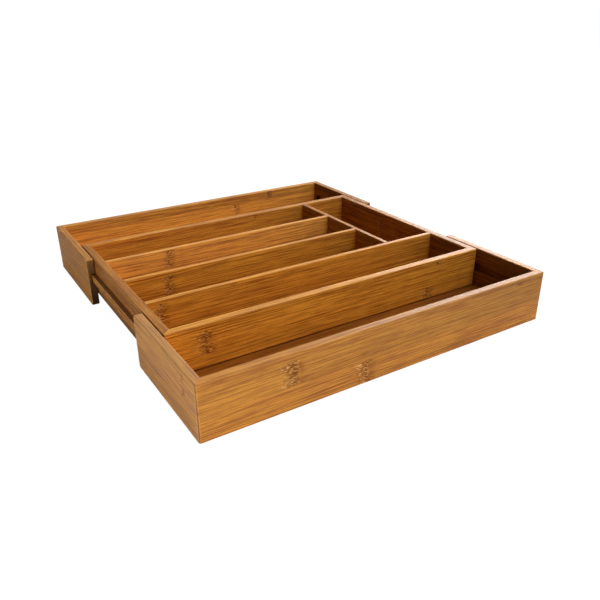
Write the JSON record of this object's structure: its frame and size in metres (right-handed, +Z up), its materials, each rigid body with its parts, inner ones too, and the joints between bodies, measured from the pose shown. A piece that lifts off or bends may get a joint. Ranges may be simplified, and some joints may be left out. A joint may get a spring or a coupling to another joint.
{
  "type": "cutlery tray",
  "caption": "Expandable wooden cutlery tray: a divided centre tray with a sliding U-shaped extension on each side.",
  "frame": {"origin": "on the ground under the middle of the tray, with both extensions pulled out", "axes": "+X across the compartments towards the right extension, +Y from the front end to the rear end, +Z up"},
  "size_m": [0.47, 0.43, 0.0605],
  "materials": {
    "board_bamboo": "carbonised bamboo laminate, light oil, satin",
    "divider_bamboo": "carbonised bamboo laminate, light oil, satin",
    "panel_bamboo": "carbonised bamboo laminate, light oil, satin",
    "strip_bamboo": "carbonised bamboo laminate, light oil, satin"
  },
  "bodies": {
    "centre_tray": {"centre_front_board": "board_bamboo", "centre_rear_board": "board_bamboo", "centre_left_wall": "board_bamboo", "centre_right_wall": "board_bamboo", "centre_floor": "panel_bamboo", "left_divider": "divider_bamboo", "middle_divider": "divider_bamboo", "right_divider": "divider_bamboo", "cross_divider": "divider_bamboo", "front_rail": "strip_bamboo", "rear_rail": "strip_bamboo"},
    "left_extension": {"left_outer_wall": "board_bamboo", "left_front_board": "board_bamboo", "left_rear_board": "board_bamboo", "left_floor": "panel_bamboo", "left_stop_strip": "strip_bamboo"},
    "right_extension": {"right_outer_wall": "board_bamboo", "right_front_board": "board_bamboo", "right_rear_board": "board_bamboo", "right_floor": "panel_bamboo", "right_stop_strip": "strip_bamboo"}
  },
  "joints": [
    {"name": "left_slide", "type": "slide", "parent": "centre_tray", "child": "left_extension", "axis": [-1, 0, 0], "range_m": [-0.0835, 0]},
    {"name": "right_slide", "type": "slide", "parent": "centre_tray", "child": "right_extension", "axis": [1, 0, 0], "range_m": [-0.0835, 0]}
  ]
}
